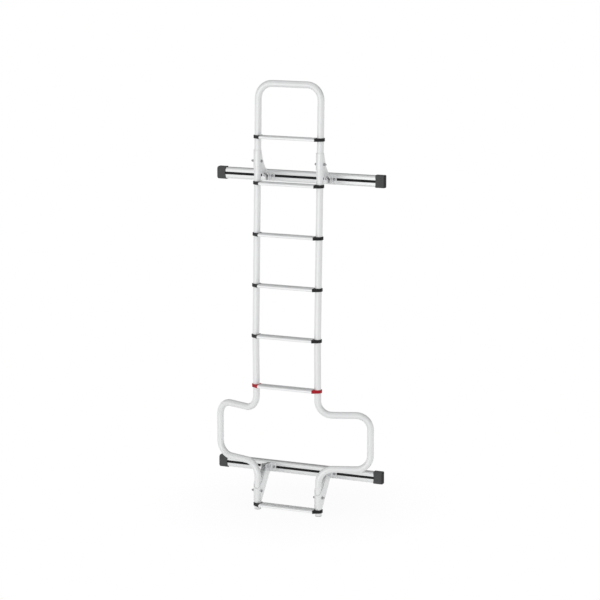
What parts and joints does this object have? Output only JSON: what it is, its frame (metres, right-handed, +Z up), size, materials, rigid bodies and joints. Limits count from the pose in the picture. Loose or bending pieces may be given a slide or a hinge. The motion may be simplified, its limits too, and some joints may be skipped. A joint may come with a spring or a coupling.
{
  "type": "van rear door ladder",
  "caption": "Bent aluminium tube ladder for a van's rear door, with a hoop hand hold, ribbed steps, a bulge round the number plate and slotted bars that bolt to the door.",
  "frame": {"origin": "middle of the lower bar's back face, where that bar lies on the door", "axes": "+Z up, +X to the climber's right, +Y through the door"},
  "size_m": [0.798, 0.2038, 1.925],
  "materials": {
    "tube": "satin anodised",
    "step": "satin anodised, ribbed",
    "bar": "satin anodised",
    "bracket": "satin sheet",
    "support": "fine grain",
    "joint_support": "fine grain",
    "cap": "fine grain",
    "insert": "matt",
    "plug": "smooth"
  },
  "bodies": {
    "root": {"foot_plug_left": "plug", "foot_plug_right": "plug", "left_lower_tube": "tube", "lower_bar": "bar", "lower_bar_cap_left": "cap", "lower_bar_cap_right": "cap", "lower_bracket_left": "bracket", "lower_bracket_right": "bracket", "lower_slot_insert_left": "insert", "lower_slot_insert_middle": "insert", "lower_slot_insert_right": "insert", "right_lower_tube": "tube", "step_1": "step", "step_2": "step", "step_3": "step", "step_4": "step", "step_5": "step", "step_6": "step", "step_7": "step", "step_support_left_1": "support", "step_support_left_2": "support", "step_support_left_3": "support", "step_support_left_4": "support", "step_support_left_5": "support", "step_support_left_6": "joint_support", "step_support_left_7": "support", "step_support_right_1": "support", "step_support_right_2": "support", "step_support_right_3": "support", "step_support_right_4": "support", "step_support_right_5": "support", "step_support_right_6": "joint_support", "step_support_right_7": "support", "upper_bar": "bar", "upper_bar_cap_left": "cap", "upper_bar_cap_right": "cap", "upper_bracket_left": "bracket", "upper_bracket_right": "bracket", "upper_hoop": "tube", "upper_slot_insert_left": "insert", "upper_slot_insert_middle": "insert", "upper_slot_insert_right": "insert"}
  },
  "joints": []
}
